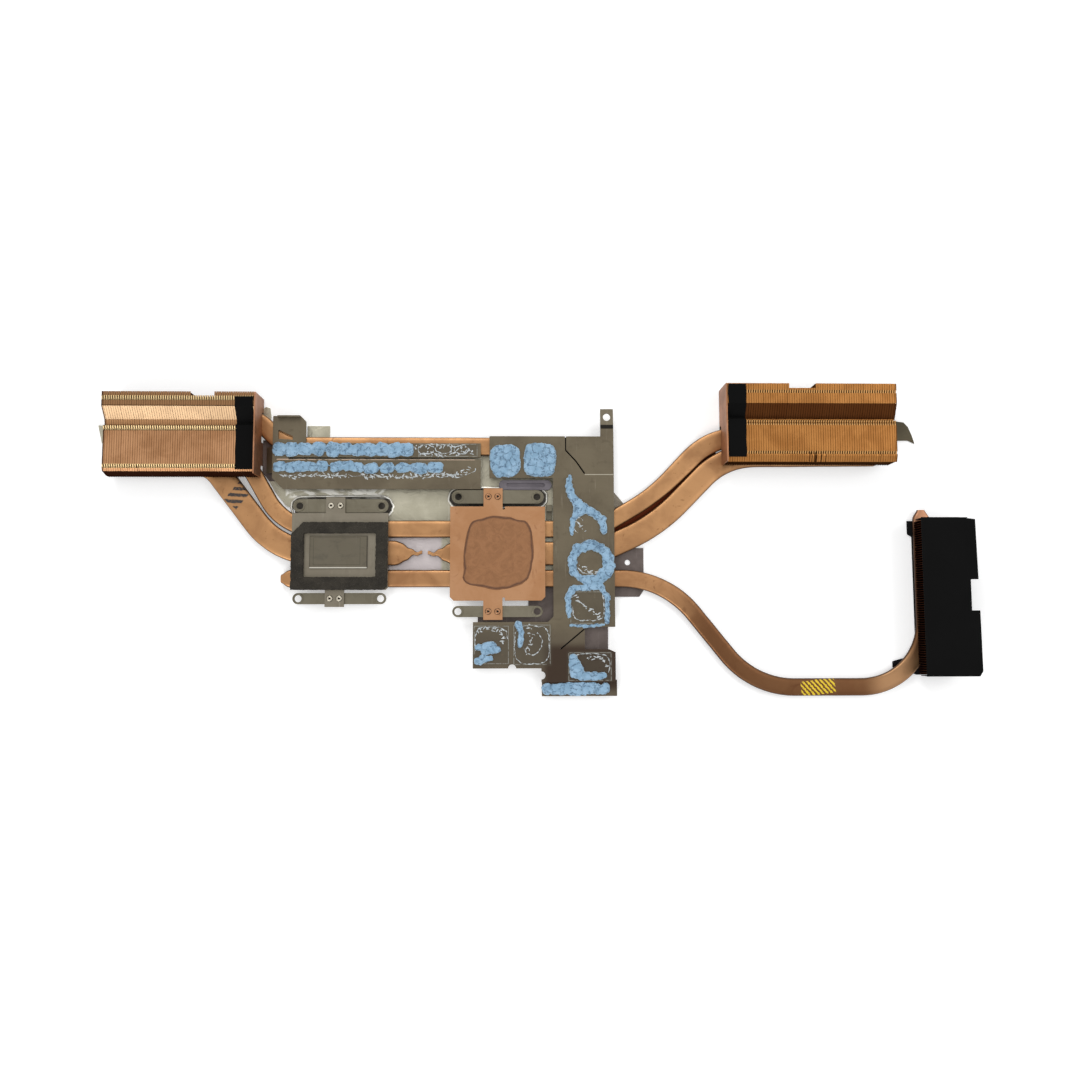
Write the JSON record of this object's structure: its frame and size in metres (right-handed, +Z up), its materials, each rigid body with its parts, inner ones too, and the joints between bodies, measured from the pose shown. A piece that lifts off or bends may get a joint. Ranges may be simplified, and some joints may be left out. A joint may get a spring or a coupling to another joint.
{
  "type": "laptop heatsink",
  "caption": "Laptop cooling module: flattened copper heat pipes join two cold plates and sprung arms to folded fin stacks.",
  "frame": {"origin": "under the middle of the module, on the surface that it lies on, cold plates up", "axes": "+X along the module towards the side stack, +Y towards the two rear stacks, +Z up"},
  "size_m": [0.3782, 0.1336, 0.0158],
  "materials": {
    "fin_copper": "thin rolled copper, dulled",
    "pipe_copper": "drawn copper, tarnished and handled",
    "plate_copper": "copper plate, lightly tarnished",
    "nickel_spring": "nickel-plated spring steel",
    "nickel_plate": "nickel-plated copper sheet, stained",
    "bright_sheet": "bare rolled aluminium",
    "dark_sheet": "darkened aluminium",
    "black_sheet": "black painted aluminium",
    "grey_strip": "satin grey coat",
    "black_film": "black polyester film",
    "foam": "open-cell black foam",
    "putty": "pale blue heat-conducting putty",
    "paste": "thin film of dried heat paste"
  },
  "bodies": {
    "root": {"arm_rivets": "nickel_spring", "cpu_cold_plate": "plate_copper", "cpu_foam_gasket": "foam", "cpu_front_arm": "nickel_spring", "cpu_rear_arm": "nickel_spring", "front_rail": "nickel_plate", "front_sheet": "dark_sheet", "gpu_cold_plate": "plate_copper", "gpu_front_arm": "nickel_spring", "gpu_paste": "paste", "gpu_rear_arm": "nickel_spring", "left_base_strip": "bright_sheet", "left_end_wall": "fin_copper", "left_fins": "fin_copper", "left_main_pipe": "pipe_copper", "left_tape": "black_film", "memory_plate": "nickel_plate", "memory_putty": "putty", "rail_putty": "putty", "rear_sheet": "bright_sheet", "right_base_strip": "bright_sheet", "right_end_wall": "fin_copper", "right_fins": "fin_copper", "right_main_pipe": "pipe_copper", "right_tape": "black_film", "shared_pipe": "pipe_copper", "side_base_sheet": "black_sheet", "side_film": "black_film", "side_fins": "fin_copper", "side_pipe": "pipe_copper", "slotted_strip": "grey_strip", "spring_clip": "nickel_spring", "transistor_plate": "nickel_plate", "transistor_putty": "putty", "vrm_pipe": "pipe_copper"}
  },
  "joints": []
}
